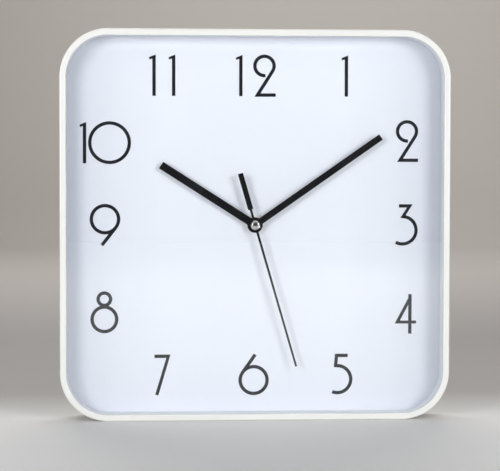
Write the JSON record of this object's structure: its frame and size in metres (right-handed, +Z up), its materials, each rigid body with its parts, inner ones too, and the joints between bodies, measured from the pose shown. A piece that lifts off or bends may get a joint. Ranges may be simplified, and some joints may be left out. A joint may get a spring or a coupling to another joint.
{
  "type": "wall clock",
  "caption": "Square glazed wall clock with rounded corners, printed numerals, straight black hands and a battery quartz movement behind a screwed back cover.",
  "frame": {"origin": "bottom centre of the case's bounding box: middle of the width and of the depth, at the underside", "axes": "+X to the right as seen from the front, +Y from the face to the wall, +Z up towards twelve"},
  "size_m": [0.3, 0.042, 0.3],
  "materials": {
    "case_plastic": "glossy ivory-white moulded plastic",
    "back_plastic": "matt white moulded plastic",
    "clear_glass": "clear flat glass",
    "dial_print": "smooth bluish-white printed sheet",
    "dial_board": "plain moulded plate",
    "dial_ink": "blue-black printing ink",
    "hand_lacquer": "satin black lacquered aluminium",
    "cap_metal": "bright plated cap",
    "brass_turned": "turned brass",
    "washer_rubber": "black rubber",
    "screw_steel": "zinc-plated steel",
    "movement_plastic": "black moulded plastic",
    "bridge_plastic": "dark moulded plastic",
    "gear_plastic": "natural acetal",
    "knob_plastic": "black moulded plastic",
    "core_iron": "annealed nickel-iron sheet",
    "bobbin_plastic": "cream moulded plastic",
    "coil_wire": "enamelled copper wire",
    "board_laminate": "green glass-fibre board",
    "chip_resin": "black potting resin",
    "crystal_can": "tinned steel can",
    "magnet_ferrite": "grey bonded ferrite",
    "contact_spring": "nickel-plated spring steel",
    "cell_jacket": "plain printed metal jacket"
  },
  "bodies": {
    "case": {"case_frame": "case_plastic", "lens_glass": "clear_glass", "reveal_ring": "case_plastic", "dial_sheet": "dial_print", "numerals": "dial_ink", "dial_plate": "dial_board", "back_cover": "back_plastic", "cover_screws": "screw_steel", "rubber_washer": "washer_rubber", "brass_washer": "brass_turned", "hex_nut": "brass_turned", "threaded_bush": "brass_turned", "movement_front_case": "movement_plastic", "movement_back_case": "movement_plastic", "middle_plate": "bridge_plastic", "stator": "core_iron", "coil_core": "core_iron", "coil_bobbin": "bobbin_plastic", "coil_winding": "coil_wire", "circuit_board": "board_laminate", "clock_chip": "chip_resin", "quartz_crystal": "crystal_can", "positive_contact": "contact_spring", "negative_contact": "contact_spring"},
    "hour_hand": {"hour_hand": "hand_lacquer", "hour_wheel": "gear_plastic"},
    "minute_hand": {"minute_hand": "hand_lacquer", "minute_arbor": "gear_plastic"},
    "second_hand": {"second_hand": "hand_lacquer", "centre_cap": "cap_metal", "second_wheel": "gear_plastic"},
    "centre_wheel": {"centre_wheel": "gear_plastic"},
    "third_wheel": {"third_wheel": "gear_plastic"},
    "fifth_wheel": {"fifth_wheel": "gear_plastic"},
    "rotor": {"rotor_magnet": "magnet_ferrite", "rotor_pinion": "gear_plastic"},
    "reverse_wheel": {"reverse_wheel": "gear_plastic"},
    "setting_knob": {"setting_knob": "knob_plastic"},
    "battery": {"battery_cell": "cell_jacket"}
  },
  "joints": [
    {"name": "second_hand_turn", "type": "hinge", "parent": "case", "child": "second_hand", "pos_m": [0, 0.0013, 0.15], "axis": [0, 1, 0], "continuous": true},
    {"name": "minute_hand_turn", "type": "hinge", "parent": "case", "child": "minute_hand", "pos_m": [0, 0.0013, 0.15], "axis": [0, 1, 0], "continuous": true},
    {"name": "hour_hand_turn", "type": "hinge", "parent": "case", "child": "hour_hand", "pos_m": [0, 0.0013, 0.15], "axis": [0, 1, 0], "continuous": true},
    {"name": "centre_wheel_turn", "type": "hinge", "parent": "case", "child": "centre_wheel", "pos_m": [0, 0.0013, 0.15], "axis": [0, 1, 0], "continuous": true},
    {"name": "third_wheel_turn", "type": "hinge", "parent": "case", "child": "third_wheel", "pos_m": [0.00694, 0.0013, 0.15827], "axis": [0, 1, 0], "continuous": true},
    {"name": "fifth_wheel_turn", "type": "hinge", "parent": "case", "child": "fifth_wheel", "pos_m": [-0.00728, 0.0013, 0.1542], "axis": [0, 1, 0], "continuous": true},
    {"name": "rotor_turn", "type": "hinge", "parent": "case", "child": "rotor", "pos_m": [-0.01148, 0.0013, 0.16148], "axis": [0, 1, 0], "continuous": true},
    {"name": "reverse_wheel_turn", "type": "hinge", "parent": "case", "child": "reverse_wheel", "pos_m": [-0.0096, 0.0013, 0.15], "axis": [0, 1, 0], "continuous": true},
    {"name": "setting_knob_turn", "type": "hinge", "parent": "case", "child": "setting_knob", "pos_m": [-0.01862, 0.0013, 0.14672], "axis": [0, 1, 0], "continuous": true},
    {"name": "battery_slide", "type": "slide", "parent": "case", "child": "battery", "axis": [0, 1, 0], "range_m": [0, 0.04]}
  ],
  "couplings": [
    {"joint": "third_wheel_turn", "follows": "second_hand_turn", "ratio": -0.13333},
    {"joint": "centre_wheel_turn", "follows": "second_hand_turn", "ratio": 0.016667},
    {"joint": "fifth_wheel_turn", "follows": "second_hand_turn", "ratio": -5},
    {"joint": "rotor_turn", "follows": "second_hand_turn", "ratio": 30},
    {"joint": "reverse_wheel_turn", "follows": "minute_hand_turn", "ratio": -0.33333},
    {"joint": "hour_hand_turn", "follows": "minute_hand_turn", "ratio": 0.083333},
    {"joint": "setting_knob_turn", "follows": "minute_hand_turn", "ratio": 1}
  ]
}
